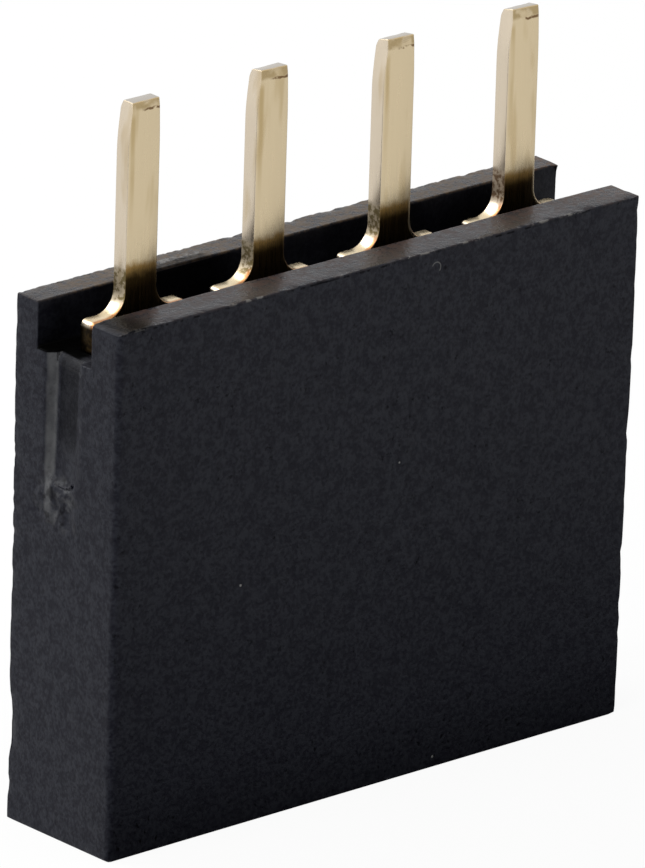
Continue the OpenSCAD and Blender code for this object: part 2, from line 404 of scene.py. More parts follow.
class Tree:
    """Short calls for making and joining nodes in one tree."""

    def __init__(self, tree):
        self.tree = tree

    def node(self, kind, *sources, **settings):
        """Adds a node. Sources go to its inputs in order, as sockets or as plain values."""
        made = self.tree.nodes.new(kind)
        for key, value in settings.items():
            setattr(made, key, value)
        for socket, source in zip(made.inputs, sources):
            self.feed(socket, source)
        return made

    def feed(self, socket, source):
        """Gives an input a link or a plain value, and leaves it alone for None.

        A node stands for its first output. A colour without alpha gets full alpha.
        """
        if isinstance(source, bpy.types.Node):
            source = source.outputs[0]
        if isinstance(source, bpy.types.NodeSocket):
            self.tree.links.new(source, socket)
        elif source is not None:
            plain = socket.type == "RGBA" and len(source) == 3
            socket.default_value = (*source, 1.0) if plain else source

    def set(self, made, **sources):
        """Feeds named inputs. An underscore in a name stands for a space."""
        for key, source in sources.items():
            self.feed(made.inputs[key.replace("_", " ")], source)
        return made

    def math(self, operation, *sources, clamp=False):
        """Result of one Math node."""
        return self.node(
            "ShaderNodeMath", *sources, operation=operation, use_clamp=clamp
        ).outputs[0]

    def ramp(self, value, low, high, to_low=0.0, to_high=1.0):
        """Result of a Map Range node with a soft step."""
        made = self.node("ShaderNodeMapRange", interpolation_type="SMOOTHSTEP")
        self.set(made, Value=value, From_Min=low, From_Max=high, To_Min=to_low, To_Max=to_high)
        return made.outputs[0]

    def fall(self, value, low, high):
        """1 below low, falling softly to 0 at high."""
        return self.ramp(value, low, high, 1.0, 0.0)

    def plus(self, base, value, share):
        """The base with a share of a value added to it."""
        return self.math("MULTIPLY_ADD", value, share, base)

    def mix(self, factor, first, second):
        """Colour between two colours."""
        made = self.node("ShaderNodeMix", data_type="RGBA")
        self.feed(made.inputs[0], factor)
        self.feed(made.inputs[6], first)
        self.feed(made.inputs[7], second)
        return made.outputs[2]

    def times(self, *masks):
        """All the masks multiplied together."""
        return reduce(lambda first, second: self.math("MULTIPLY", first, second), masks)

    def most(self, *masks):
        """The highest of the masks."""
        return reduce(lambda first, second: self.math("MAXIMUM", first, second), masks)

    def rest(self, mask):
        """What a mask leaves: 1 less the mask."""
        return self.math("SUBTRACT", 1.0, mask)

    def paint(self, below, colour, *masks):
        """A colour laid over what is below it, where all its masks are."""
        return self.mix(self.times(*masks), below, colour)

    def inside(self, value, low, high, softness):
        """1 between two values, falling to 0 outside them."""
        up = self.ramp(value, low - softness, low)
        return self.times(up, self.fall(value, high, high + softness))

    def gap(self, place, centre):
        """Distance of the surface from a point."""
        made = self.node("ShaderNodeVectorMath", place, tuple(centre), operation="DISTANCE")
        return made.outputs["Value"]

    def spot(self, place, centre, radius, softness):
        """1 round a point of the surface, falling to 0 past its radius."""
        return self.fall(self.gap(place, centre), radius, radius + softness)

    def bump(self, shader, height, distance, strength):
        """Gives the shader a normal from a height that changes over the surface."""
        made = self.node("ShaderNodeBump")
        self.set(made, Height=height, Distance=distance, Strength=strength)
        self.feed(shader.inputs["Normal"], made)

    def noise(self, vector, scale, detail=2.0, roughness=0.5):
        """Noise between 0 and 1 at so many features a metre."""
        made = self.node("ShaderNodeTexNoise")
        self.set(made, Vector=vector, Scale=scale, Detail=detail, Roughness=roughness)
        return made.outputs["Fac"]

    def stretched(self, vector, scale):
        """The vector with each axis scaled by its own factor."""
        made = self.node("ShaderNodeMapping", vector_type="POINT")
        return self.set(made, Vector=vector, Scale=scale).outputs[0]

    def split(self, vector):
        """The three parts of a vector."""
        return self.node("ShaderNodeSeparateXYZ", vector).outputs


# Kind of socket for each kind of default. Geometry has none
SOCKETS = {
    float: "NodeSocketFloat", int: "NodeSocketInt", tuple: "NodeSocketVector",
    type(None): "NodeSocketGeometry",
}


def new_group(name, kind, inputs, outputs):
    """A node group with named sockets. Returns its helper, its inputs and its output node.

    Each socket's name goes with its default, which also tells the kind of socket.
    """
    group = bpy.data.node_groups.new(name, kind)
    for way, sockets in (("INPUT", inputs), ("OUTPUT", outputs)):
        for label, default in sockets.items():
            socket_type = SOCKETS[type(default)]
            made = group.interface.new_socket(name=label, in_out=way, socket_type=socket_type)
            if default is not None:
                made.default_value = default
    helper = Tree(group)
    return helper, helper.node("NodeGroupInput").outputs, helper.node("NodeGroupOutput")


def place_group(helper, name, **sources):
    """Places a shader group, made on its first use, and feeds its named inputs."""
    group = bpy.data.node_groups.get(name) or SHADER_GROUPS[name]()
    made = helper.node("ShaderNodeGroup", node_tree=group)
    return helper.set(made, **sources).outputs


def grain_group():
    """Fine moulded grain with a coarser mottle: a height and a mask of its high places."""
    t, given, result = new_group(
        "Moulded Grain", "ShaderNodeTree",
        {"Vector": ORIGIN, "Fine": 20000.0, "Coarse": 5000.0, "Mottle": 0.4},
        {"Height": 0.0, "Mask": 0.0},
    )
    fine = t.noise(given["Vector"], given["Fine"], 3.0, 0.6)
    coarse = t.noise(given["Vector"], given["Coarse"], 2.0, 0.55)
    raised = t.math("MULTIPLY", coarse, given["Mottle"])
    t.feed(result.inputs["Height"], t.math("ADD", fine, raised))
    t.feed(result.inputs["Mask"], t.ramp(coarse, 0.42, 0.66))
    return t.tree


def streak_group():
    """Marks drawn out along Z: fine lines, and broad soft bands."""
    t, given, result = new_group(
        "Drawn Streaks", "ShaderNodeTree",
        {"Vector": ORIGIN, "Fine": 16000.0, "Broad": 4200.0}, {"Lines": 0.0, "Bands": 0.0},
    )
    long_grain = t.stretched(given["Vector"], (1.0, 1.0, 0.06))
    long_bands = t.stretched(given["Vector"], (1.0, 1.0, 0.16))
    t.feed(result.inputs["Lines"], t.noise(long_grain, given["Fine"], 2.0, 0.6))
    t.feed(result.inputs["Bands"], t.noise(long_bands, given["Broad"]))
    return t.tree


def speck_group():
    """Sparse specks: 1 in the middle of a few cells, 0 elsewhere."""
    t, given, result = new_group(
        "Dust Specks", "ShaderNodeTree",
        {"Vector": ORIGIN, "Scale": 3000.0, "Size": 0.08, "Share": 0.1}, {"Mask": 0.0},
    )
    cells = t.node("ShaderNodeTexVoronoi", feature="F1")
    t.set(cells, Vector=given["Vector"], Scale=given["Scale"])
    pick = t.split(cells.outputs["Color"])[0]
    chosen = t.math("LESS_THAN", pick, given["Share"])
    near = t.math("LESS_THAN", cells.outputs["Distance"], given["Size"])
    t.feed(result.inputs["Mask"], t.math("MULTIPLY", chosen, near))
    return t.tree


SHADER_GROUPS = {
    "Moulded Grain": grain_group,
    "Drawn Streaks": streak_group,
    "Dust Specks": speck_group,
}


def empty_tree(owner):
    """The helper for a material's or a world's node tree, with no nodes in it yet."""
    owner.use_nodes = True
    owner.node_tree.nodes.clear()
    return Tree(owner.node_tree)


def new_material(name):
    """A material with a bare Principled shader, its tree, the shader and the Object place."""
    material = bpy.data.materials.new(name)
    t = empty_tree(material)
    shader = t.node("ShaderNodeBsdfPrincipled")
    t.node("ShaderNodeOutputMaterial", shader)
    return material, t, shader, t.node("ShaderNodeTexCoord").outputs["Object"]


def rail_masks(t, place, along, across, height):
    """Masks for the rail tops, painted lighter as a sheen, and for their rubbed, their chipped and
    their dark places.
    """
    top = HOUSING_HIGH.z
    on_rail = t.ramp(height, top - 0.05 * MM, top - 0.02 * MM)
    edge_gap = t.math("SUBTRACT", across, HOUSING_LOW.y)
    rubbed = t.times(
        t.ramp(t.noise(place, 8000.0, 5.0, 0.72), 0.38, 0.62),
        t.ramp(edge_gap, 0.0, 0.6 * MM, 0.35, 1.0),
        t.ramp(along, HOUSING_LOW.x + 0.3 * MM, HOUSING_LOW.x + 1.0 * MM, 0.35, 1.0),
    )
    broken = t.noise(place, 9000.0, 3.0, 0.6)
    stretch = t.ramp(t.noise(place, 1400.0), 0.46, 0.6)
    chipped = t.times(
        on_rail, t.fall(edge_gap, 0.02 * MM, 0.07 * MM),
        t.ramp(broken, 0.5, 0.56), stretch,
    )
    inner_gap = t.math("SUBTRACT", across, ROW_Y + CHANNEL_WIDTH / 2 * MM)
    inner_gap = t.plus(inner_gap, broken, 0.12 * MM)
    scraped_part = t.times(on_rail, t.inside(along, *SCRAPED_SPAN, 0.35 * MM))
    scraped = t.times(
        scraped_part, t.inside(inner_gap, -0.05 * MM, 0.22 * MM, 0.03 * MM),
        t.ramp(broken, 0.3, 0.6, 0.85, 0.6),
    )
    speckled = t.times(
        scraped_part, t.inside(inner_gap, 0.22 * MM, 0.34 * MM, 0.04 * MM),
        t.ramp(t.noise(place, 13000.0, 3.0, 0.6), 0.48, 0.54),
    )
    dark_side = t.times(
        t.fall(edge_gap, 0.03 * MM, 0.05 * MM),
        t.inside(height, top - 0.06 * MM, top - 0.04 * MM, 0.01 * MM),
        t.ramp(broken, 0.44, 0.52, 0.7, 0.0), t.ramp(stretch, 0.0, 1.0, 1.0, 0.4),
    )
    worn_end = t.times(
        on_rail, t.fall(across, ROW_Y - 0.2 * MM, ROW_Y),
        t.ramp(along, HOUSING_LOW.x + 0.45 * MM, HOUSING_LOW.x + 0.9 * MM, 0.75, 0.0),
    )
    return on_rail, rubbed, t.most(chipped, speckled), t.most(dark_side, scraped, worn_end)


def relief_masks(t, place, along, across, height):
    """Masks for the painted highlight on the relief's lit wall and bevel band in the left end, and
    for the painted shade on its floor.
    """
    floor, half = CHANNEL_FLOOR, RELIEF_WIDTH / 2 * MM
    on_end = t.fall(along, HOUSING_LOW.x + 0.28 * MM, HOUSING_LOW.x + 0.3 * MM)
    side = t.math("SUBTRACT", across, ROW_Y)
    wander = t.plus(side, t.noise(place, 2400.0), 0.05 * MM)
    # Painted highlight on the relief's wall that faces the light
    upright = t.times(
        t.inside(wander, half - 0.03 * MM, half + 0.02 * MM, 0.07 * MM),
        t.inside(height, RIM_FOOT_Z, floor, 0.3 * MM),
    )
    # Painted highlight on the lit bevel band under the channel floor
    above = t.times(
        t.inside(height, floor - 0.2 * MM, floor - 0.02 * MM, 0.04 * MM),
        t.ramp(t.math("ABSOLUTE", side), half, half + 0.03 * MM, 0.2, 0.0),
    )
    patchy = t.ramp(t.noise(place, 3600.0, 3.0, 0.6), 0.3, 0.6, 0.6, 1.0)
    # Painted shade on the relief's floor
    hollow = t.times(
        t.inside(side, 0.12 * MM - half, half - 0.18 * MM, 0.06 * MM),
        t.inside(height, HOLLOW_FOOT_Z, floor - 0.22 * MM, 0.5 * MM), on_end,
    )
    return t.times(t.most(upright, above), on_end, patchy), hollow


def gate_masks(t, place):
    """Masks for the gate mark's torn places, painted pale as a highlight on its bumps, and its
    pits, painted dark as shade.
    """
    frayed = t.plus(t.gap(place, GATE_PLACE), t.noise(place, 2600.0), 0.5 * MM)
    at_gate = t.fall(frayed, 0.52 * MM, 0.78 * MM)
    # Painted highlight on the torn bumps, and painted shade in the pits
    torn = t.ramp(t.noise(place, 4500.0, 3.0, 0.55), 0.46, 0.62)
    pitted = t.fall(t.noise(place, 5200.0), 0.36, 0.45)
    return t.times(at_gate, torn), t.times(at_gate, pitted)


def channel_shade_mask(t, along, across, height):
    """1 on the channel's walls and floor, painted with shade, but not on the floor's lit lip at the
    left end.
    """
    half = CHANNEL_WIDTH / 2 * MM
    off_middle = t.math("ABSOLUTE", t.math("SUBTRACT", across, ROW_Y))
    in_channel = t.times(
        t.fall(off_middle, half, half + 0.02 * MM),
        t.inside(height, CHANNEL_FLOOR - 0.02 * MM, HOUSING_HIGH.z - 0.06 * MM, 0.03 * MM),
    )
    # The lip at the left end, where light reaches the floor, is left without painted shade
    lit_lip = t.times(
        t.fall(height, CHANNEL_FLOOR + 0.02 * MM, CHANNEL_FLOOR + 0.06 * MM),
        t.fall(along, HOUSING_LOW.x + 0.4 * MM, HOUSING_LOW.x + 0.7 * MM),
        t.fall(across, ROW_Y - 0.3 * MM, ROW_Y - 0.1 * MM),
    )
    return t.times(in_channel, t.rest(lit_lip))


def lint_mask(t, place, along, height):
    """1 on dust specks, on the lint at the named places and on the curled fibre."""
    dust = place_group(t, "Dust Specks", Vector=place, Scale=1500.0, Size=0.022, Share=0.06)
    curl = t.inside(
        t.gap(place, CURL_CENTRE), CURL_RADIUS - CURL_HALF, CURL_RADIUS + CURL_HALF, 0.008 * MM)
    beyond = t.math("SUBTRACT", along, CURL_CENTRE.x)
    tilted = t.plus(height, beyond, 0.7)
    cut = t.ramp(tilted, CURL_CENTRE.z - 0.03 * MM, CURL_CENTRE.z, 0.0, 0.5)
    spots = [t.spot(place, centre, radius, 0.01 * MM) for centre, radius in LINT_PLACES]
    return t.most(dust["Mask"], t.times(curl, cut), *spots)


def plastic_material(colours):
    """Black moulded plastic: grain, rubbed rails with painted sheen, painted shade and highlights,
    a torn gate mark and lint.
    """
    material, t, shader, place = new_material("black_moulded_plastic")
    along, across, height = t.split(place)
    grain = place_group(t, "Moulded Grain", Vector=place, Fine=15000.0, Coarse=5200.0, Mottle=0.5)
    patch = t.ramp(t.noise(place, 900.0), 0.45, 0.62)
    on_rail, rubbed, chipped, dark_rail = rail_masks(t, place, along, across, height)
    rim, hollow = relief_masks(t, place, along, across, height)
    torn, pitted = gate_masks(t, place)
    on_front = t.fall(across, HOUSING_LOW.y + 0.04 * MM, HOUSING_LOW.y + 0.06 * MM)
    pores = t.times(
        t.ramp(t.noise(place, 7600.0, 4.0, 0.7), 0.34, 0.43, 0.62, 0.0),
        t.ramp(patch, 0.0, 1.0, 0.5, 1.0), t.ramp(on_front, 0.0, 1.0, 0.4, 1.0),
    )
    # Painted shade: the front darkens towards its foot
    foot = t.times(on_front, t.ramp(height, 0.0, DARK_FOOT_Z, 0.3, 0.0))
    # Painted shade in the channel, on the relief's floor, in the gate's pits and at the front's
    # foot, with the dark pores and rail marks
    dark = t.most(
        channel_shade_mask(t, along, across, height), t.times(pitted, 0.5), dark_rail,
        t.times(hollow, 0.5), t.math("ADD", pores, foot, clamp=True),
    )

    # The rail tops are painted lighter and browner: rubbed wear with a painted sheen
    back = t.ramp(across, -0.2 * MM, 0.2 * MM)
    browned = t.ramp(along, HOUSING_HIGH.x - 1.8 * MM, HOUSING_HIGH.x, 0.0, 0.8)
    rub_and_sheen = t.mix(back, colours.rubbed_rail_and_sheen, colours.rubbed_back_and_sheen)
    rub_and_sheen = t.mix(browned, rub_and_sheen, colours.rubbed_end_and_sheen)
    base = t.mix(t.ramp(grain["Height"], 0.61, 0.9), colours.plastic, colours.worn_plastic_and_sheen)
    base = t.mix(on_rail, base, t.mix(rubbed, colours.worn_plastic_and_sheen, rub_and_sheen))
    base = t.mix(chipped, base, colours.broken_rim)
    # Painted highlight on the relief's lit wall and bevel band, and on the gate mark's torn bumps
    base = t.mix(rim, base, colours.painted_highlight)
    base = t.paint(base, colours.painted_highlight, torn, 0.5)
    base = t.mix(dark, base, colours.dark_plastic_and_shade)
    base = t.mix(lint_mask(t, place, along, height), base, colours.lint)

    gloss = t.node("ShaderNodeMix", data_type="FLOAT")
    t.set(
        gloss, Factor=on_rail, A=t.ramp(grain["Mask"], 0.0, 1.0, 0.5, 0.42),
        B=t.ramp(rubbed, 0.0, 1.0, 0.27, 0.4),
    )
    specular = t.times(
        t.ramp(dark, 0.0, 1.0, 1.0, 0.1), t.ramp(on_rail, 0.0, 1.0, 0.115, 0.08))
    t.set(shader, Base_Color=base, Roughness=gloss, Specular_IOR_Level=specular)
    rough_patch = t.times(
        patch, t.spot(place, PATCH_CENTRE, PATCH_RADIUS, 1.2 * MM),
        t.noise(place, 3600.0, 3.0, 0.6),
    )
    raised = t.plus(grain["Height"], rough_patch, 1.6)
    t.bump(shader, raised, GRAIN_HEIGHT, 0.9)
    return material


def core_material(colours):
    """The same plastic where polished cores formed the cavities: smoother and darker."""
    material, t, shader, place = new_material("black_plastic_cavity_walls")
    grain = place_group(t, "Moulded Grain", Vector=place, Fine=26000.0, Coarse=4200.0, Mottle=0.3)
    streaks = place_group(t, "Drawn Streaks", Vector=place, Fine=14000.0, Broad=3200.0)
    base = t.paint(colours.plastic, colours.worn_plastic_and_sheen, grain["Mask"], 0.3)
    gloss = t.ramp(streaks["Lines"], 0.3, 0.7, 0.42, 0.55)
    t.set(shader, Base_Color=base, Specular_IOR_Level=0.2, Roughness=gloss)
    t.bump(shader, streaks["Lines"], STREAK_HEIGHT, 0.5)
    return material


def bright_rim_mask(t, along, local, height):
    """1 along the right edges of the last two tails' feet, which the painted dark reflection leaves
    out.
    """
    radius = TAIL_FILLET * MM
    beside = t.math("SUBTRACT", local, TAIL_WIDTH / 2 * MM + radius)
    below = t.math("MINIMUM", t.math("SUBTRACT", height, SHOULDER_Z * MM + radius), 0.0)
    offset = t.set(t.node("ShaderNodeCombineXYZ"), X=beside, Z=below)
    gap = t.node("ShaderNodeVectorMath", offset, operation="LENGTH").outputs["Value"]
    return t.times(
        t.fall(gap, radius + 0.025 * MM, radius + 0.055 * MM),
        t.ramp(along, GAPS[1], GAPS[1] + 0.1 * MM, 0.15, 0.9),
    )


def tip_colour(t, colour, colours, place, local, from_tip, upward, front):
    """The colour with the tips' cut ends, bevels with painted shade and a shadow line painted in
    bare metal's colour laid over it, and the end mask.
    """
    at_tip = t.ramp(from_tip, -0.14 * MM, -0.1 * MM)
    end = t.times(t.ramp(upward, 0.1, 0.3), at_tip)
    colour = t.mix(end, colour, colours.cut_end)
    # Dull pressed metal with painted shade on the tips' tilted coined bevels
    colour = t.paint(colour, colours.pressed, t.inside(upward, 0.2, 0.85, 0.08), at_tip, 0.5)
    blotch = t.noise(place, 7000.0, 3.0, 0.6)
    wander = t.plus(from_tip, blotch, 0.1 * MM)
    # The same on the front under the tip
    colour = t.paint(
        colour, colours.pressed, t.ramp(wander, -0.11 * MM, -0.04 * MM), front,
        t.ramp(t.noise(place, 5000.0), 0.36, 0.56, 0.25, 1.0),
    )
    # Painted shadow line of a dent under the pressed front, in bare copper's colour
    colour = t.paint(
        colour, colours.bare_copper_and_shadow, t.inside(wander, -0.105 * MM, -0.085 * MM, 0.02 * MM),
        front, t.ramp(local, -0.08 * MM, 0.04 * MM), t.ramp(blotch, 0.35, 0.5),
    )
    return colour, end


def plating_material(colours):
    """Pale gold plating: drawn streaks, dark feet of painted reflection, painted shade, copper
    edges and bare metal at the tips.
    """
    material, t, shader, place = new_material("pale_gold_plating")
    along, across, height = t.split(place)
    streaks = place_group(t, "Drawn Streaks", Vector=place, Fine=15000.0, Broad=4200.0)
    facing = t.split(t.node("ShaderNodeNewGeometry").outputs["True Normal"])
    side = t.ramp(t.math("ABSOLUTE", facing[0]), 0.3, 0.8)
    front = t.ramp(t.math("ABSOLUTE", facing[1]), 0.5, 0.9)

    # Every place is told from its own contact's axis and its own tip
    along_row = t.math("SUBTRACT", along, CONTACT_CENTRES[0].x - PITCH / 2)
    local = t.math("SUBTRACT", t.math("MODULO", along_row, PITCH), PITCH / 2)
    slope = -SEATS[0] / (CONTACT_CENTRES[-1].x - CONTACT_CENTRES[0].x)
    tip = t.plus(LAST_TIP_Z - slope * CONTACT_CENTRES[-1].x, along, slope)
    from_tip = t.math("SUBTRACT", height, tip)

    colour = t.mix(side, colours.plating, colours.sheared)
    colour = t.paint(colour, colours.tarnish, t.ramp(streaks["Bands"], 0.52, 0.72), 0.5)
    colour, end = tip_colour(t, colour, colours, place, local, from_tip, facing[2], front)
    colour = t.paint(
        colour, colours.tarnish, t.inside(local, -0.245 * MM, -0.215 * MM, 0.05 * MM),
        t.ramp(from_tip, -2.3 * MM, -1.0 * MM), t.fall(from_tip, -0.3 * MM, -0.15 * MM),
        front, t.ramp(streaks["Bands"], 0.3, 0.6, 0.15, 0.7),
    )

    # The painted dark reflection reaches a little higher on the first contact's foot than on the
    # others'
    second, fourth = GAPS[0], GAPS[-1]
    blotch = t.noise(place, 7000.0, 3.0, 0.6)
    stain_and_shade_z = t.math("ADD", height, t.ramp(along, second, second + 0.1 * MM, 0.0, 0.12 * MM))
    ragged = t.plus(stain_and_shade_z, blotch, 1.6 * FOOT_FRAY)
    ragged = t.plus(ragged, streaks["Bands"], FOOT_FRAY)
    reflecting_front = t.times(front, t.rest(bright_rim_mask(t, along, local, height)))
    # Painted dark reflection of the black housing on the tails' fronts, with a lighter fringe at
    # its top
    haze = t.ramp(ragged, FOOT_Z + 0.02 * MM, FOOT_Z + 0.16 * MM, 0.95, 0.0)
    colour = t.paint(colour, colours.ochre_reflection_fringe, haze, reflecting_front)
    low = t.ramp(ragged, FOOT_Z - 0.15 * MM, FOOT_Z + 0.05 * MM, 0.95, 0.0)
    colour = t.paint(colour, colours.painted_dark_reflection, low, reflecting_front)

    # Mottled stain with painted shade on the sides just above the fillets
    mottled = t.ramp(t.noise(place, 14000.0, 3.0, 0.6), 0.42, 0.58, 0.5, 1.0)
    patch_z = t.math("SUBTRACT", stain_and_shade_z, t.ramp(along, second, fourth + 0.1 * MM, 0.0, 0.1 * MM))
    stained_and_shaded_side = t.times(t.inside(patch_z, *STAIN_AND_SHADE_BAND, 0.1 * MM), side)
    stain = t.mix(t.ramp(along, fourth, fourth + 0.1 * MM, 0.0, 0.75), colours.olive_stain_and_shade, colours.rust_stain_and_shade)
    colour = t.paint(colour, stain, mottled, stained_and_shaded_side, 0.92)

    front_edge = ROW_Y - SHEET / 2 * MM
    colour = t.paint(
        colour, colours.copper_edge,
        t.fall(across, front_edge + 0.03 * MM, front_edge + 0.1 * MM),
        t.fall(height, *COPPER_FADE), t.rest(front), 0.9,
    )
    # Painted shade and dark reflection on the plates' sides down in the channel
    colour = t.paint(
        colour, t.mix(mottled, colours.painted_dark_reflection, colours.painted_deepest_reflection), side,
        t.fall(height, SUNK_Z, SUNK_Z + 0.1 * MM),
    )

    rough = t.times(
        t.ramp(streaks["Lines"], 0.3, 0.7, 0.27, 0.33),
        t.ramp(height, *GLOSS_CHANGE, 0.9, 1.0),
    )
    rough = t.plus(rough, stained_and_shaded_side, 0.22)
    rough = t.plus(rough, end, 0.2)
    t.set(shader, Base_Color=colour, Metallic=1.0, Roughness=rough)
    waves = t.plus(t.times(streaks["Lines"], 0.5), streaks["Bands"], 3.0)
    t.bump(shader, waves, STREAK_HEIGHT, t.ramp(low, 0.0, 0.94, 0.4, 0.1))
    return material


def end_reach(size, z, sign):
    """Place of an end face at a height. It leans in towards the mating face."""
    share = 1 - z / HOUSING_HIGH.z
    if sign > 0:
        return HOUSING_HIGH.x - size.right_draft * share
    return HOUSING_LOW.x + size.left_draft * share


def rounded_block(size):
    """The housing without its cavities: two rails over a block, with all edges rounded."""
    low, high = HOUSING_LOW.y, HOUSING_HIGH.y
    top = HOUSING_HIGH.z
    floor = top - size.channel_depth
    front, back = ROW_Y - size.channel_width / 2, ROW_Y + size.channel_width / 2
    section = [
        (low, 0.0), (high, 0.0), (high, top), (back, top),
        (back, floor), (front, floor), (front, top), (low, top),
    ]
    bm = bmesh.new()
    loft(bm, [[(end_reach(size, z, sign), y, z) for y, z in section] for sign in (-1, 1)])
    weight = bm.edges.layers.float.new("bevel_weight_edge")
    for edge in bm.edges:
        a, b = (vert.co for vert in edge.verts)
        outer = all(min(abs(p.y - low), abs(p.y - high)) < WELD for p in (a, b))
        upright = abs(a.z - b.z) > 0.9 * top
        channel = any(min(abs(p.y - front), abs(p.y - back)) < WELD for p in (a, b)) and not (
            abs(a.x - b.x) < WELD and abs(a.z - top) < WELD and abs(b.z - top) < WELD
        )
        radius = size.rim_radius
        if upright and outer:
            worn_one = a.x < 0 and a.y < 0
            radius = size.upright_radius if worn_one else size.crisp_radius
        elif channel:
            radius = size.channel_radius
        edge[weight] = radius / size.upright_radius
    block = new_object("housing", mesh_from(bm, "housing"))
    return modify(
        block, "Rounded edges", "BEVEL", limit_method="WEIGHT", width=size.upright_radius,
        segments=4, use_clamp_overlap=False,
    )


def cavity_cutters(size):
    """What one cavity takes away, about its own axis: the pin's way in and the contact's slot."""
    bm = bmesh.new()
    slope = (size.mouth - size.passage) / 2 / size.mouth_depth
    rim = 0.03 * MM
    steps = [
        (-OVER, size.mouth / 2 + rim + OVER),
        (rim, size.mouth / 2 - rim * slope),
        (size.mouth_depth, size.passage / 2),
        (size.ledge_height, size.passage / 2),
    ]
    corners = [(-1, -1), (1, -1), (1, 1), (-1, 1)]
    loft(bm, [[(cx * half, cy * half, z) for cx, cy in corners] for z, half in steps])
    channel_floor = HOUSING_HIGH.z - size.channel_depth
    arm, plate = size.arm_slot_width / 2, size.plate_slot_width / 2
    outline = [
        (-arm, size.slot_floor), (arm, size.slot_floor), (arm, size.ledge_height),
        (plate, size.ledge_height), (plate, channel_floor + OVER),
        (-plate, channel_floor + OVER), (-plate, size.ledge_height), (-arm, size.ledge_height),
    ]
    half = size.slot_thickness / 2
    loft(bm, [[(x, y, z) for x, z in outline] for y in (-half, half)])
    return new_object("cavity_cutters", mesh_from(bm, "cavity_cutters"))


def relief_cutters(size):
    """What the relief takes from the left end face, and its run into the channel."""
    bm = bmesh.new()
    floor = HOUSING_HIGH.z - size.channel_depth
    half = size.relief_width / 2
    bottom = floor - size.relief_length + half
    deepest = size.relief_depth
    steps = [(-OVER, RELIEF_RIM[0][1] * MM + OVER)]
    steps += [(depth * MM, spread * MM) for depth, spread in RELIEF_RIM]
    steps += [(deepest - rise * MM, spread * MM) for rise, spread in RELIEF_FOOT]
    rings = []
    for depth, spread in steps:
        below = arc((0.0, 0.0), half + spread, 180, 360, 16)
        outline = [(half + spread, floor + OVER), (-half - spread, floor + OVER)]
        outline += [(y, bottom + z) for y, z in below]
        rings.append([])
        for y, z in outline:
            share = 1 - size.relief_lean * (half - y) / (2 * half)
            share -= size.relief_fade * (floor + OVER - z) / size.relief_length
            deep = depth * share if depth > 0 else depth
            rings[-1].append((end_reach(size, z, -1) + deep, ROW_Y + y, z))
    loft(bm, rings)
    bevel = size.relief_bevel
    lip = arc((bevel, floor - bevel), bevel, 180, 90, 6)
    lip += [(bevel, floor + OVER), (-OVER, floor + OVER), (-OVER, floor - bevel)]
    rings = []
    for y in (-half, half - 0.06 * MM):
        start = deepest * (1 - size.relief_lean * (half - y) / (2 * half))
        rings.append([(end_reach(size, floor, -1) + start + x, ROW_Y + y, z) for x, z in lip])
    loft(bm, rings)
    return new_object("relief_cutters", mesh_from(bm, "relief_cutters"))


def put_out(t, geometry, material, result):
    """Ends a geometry tree: what it made as real faces, with its material."""
    real = t.node("GeometryNodeRealizeInstances", geometry)
    finish = t.set(t.node("GeometryNodeSetMaterial"), Geometry=real, Material=material)
    t.feed(result.inputs[0], finish)
    return t.tree


def cavity_row_tree(material):
    """Geometry nodes that repeat one cavity along the row."""
    t, given, result = new_group(
        "Cavity Row", "GeometryNodeTree",
        {"Geometry": None, "Count": 4, "First": ORIGIN, "Pitch": PITCH}, {"Geometry": None},
    )
    step = t.set(t.node("ShaderNodeCombineXYZ"), X=given["Pitch"])
    line = t.node("GeometryNodeMeshLine", mode="OFFSET")
    t.set(line, Count=given["Count"], Start_Location=given["First"], Offset=step)
    copies = t.node("GeometryNodeInstanceOnPoints")
    t.set(copies, Points=line, Instance=given["Geometry"])
    return put_out(t, copies, material, result)


def stamped_contact_tree(material):
    """Geometry nodes that make a flat outline a sheet and set it in its place in the row."""
    t, given, result = new_group(
        "Stamped Contact", "GeometryNodeTree",
        {"Geometry": None, "Thickness": SHEET * MM, "Place": 0, "First": ORIGIN,
         "Pitch": PITCH, "Rise": 0.0}, {"Geometry": None},
    )
    extruded = t.node("GeometryNodeExtrudeMesh", mode="FACES")
    t.set(extruded, Mesh=given["Geometry"], Offset=(0.0, 1.0, 0.0), Individual=False)
    t.feed(extruded.inputs["Offset Scale"], given["Thickness"])
    back = t.node("GeometryNodeFlipFaces", given["Geometry"])
    both = t.node("GeometryNodeJoinGeometry")
    t.feed(both.inputs[0], extruded.outputs["Mesh"])
    t.feed(both.inputs[0], back)
    welded = t.node("GeometryNodeMergeByDistance")
    t.set(welded, Geometry=both, Distance=WELD)
    along = t.math("MULTIPLY", given["Place"], given["Pitch"])
    shift = t.set(t.node("ShaderNodeCombineXYZ"), X=along, Z=given["Rise"])
    place = t.node("ShaderNodeVectorMath", given["First"], shift, operation="ADD")
    moved = t.node("GeometryNodeTransform")
    t.set(moved, Geometry=welded, Translation=place)
    return put_out(t, moved, material, result)


def run_tree(thing, tree, **values):
    """Puts a geometry tree on an object, sets its named inputs and keeps what it makes."""
    modifier = thing.modifiers.new(tree.name, "NODES")
    modifier.node_group = tree
    for item in tree.interface.items_tree:
        if item.in_out == "INPUT" and item.name in values:
            modifier[item.identifier] = values[item.name]
    return apply_modifiers(thing)


def cut_away(thing, cutters):
    """Takes the cutters from the object, and removes them."""
    modify(
        thing, "Cut", "BOOLEAN", operation="DIFFERENCE", solver="EXACT", use_self=True,
        material_mode="TRANSFER", object=cutters,
    )
    bpy.data.objects.remove(cutters)


def steps_between(low, high, step):
    """Evenly spaced values inside a range, about one step apart."""
    count = max(1, round((high - low) / step))
    return [low + (high - low) * k / count for k in range(1, count)]


